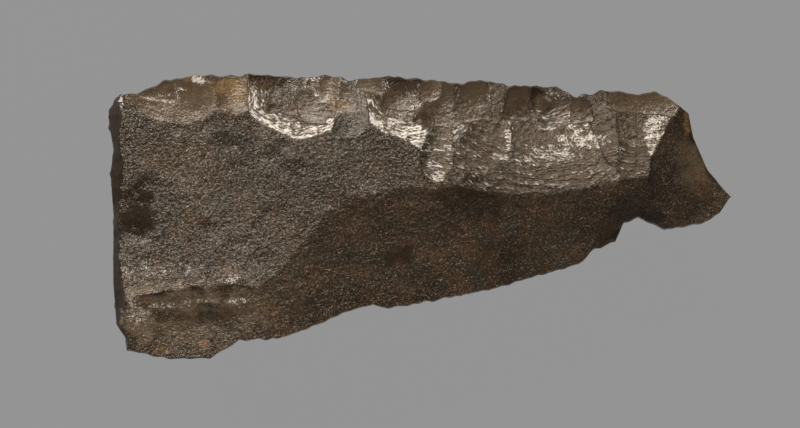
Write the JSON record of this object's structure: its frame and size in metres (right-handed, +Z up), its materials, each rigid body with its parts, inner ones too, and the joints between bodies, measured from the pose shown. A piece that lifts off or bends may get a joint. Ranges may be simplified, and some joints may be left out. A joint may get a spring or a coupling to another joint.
{
  "type": "stone hand axe",
  "caption": "Knapped hand axe of dark brown flint with flake scars on both faces, a broad butt and a notched narrow end, lying flat on its underside.",
  "frame": {"origin": "on the surface it lies on, under the middle of its length and width", "axes": "+X along its length towards the narrow end, +Y towards the finely worked long edge, +Z up, away from the surface it lies on"},
  "size_m": [0.15, 0.0684, 0.0248],
  "materials": {
    "flint": "knapped dark brown flint with a slightly glossy, finely pitted brown patina"
  },
  "bodies": {
    "root": {"axe_stone": "flint"}
  },
  "joints": []
}
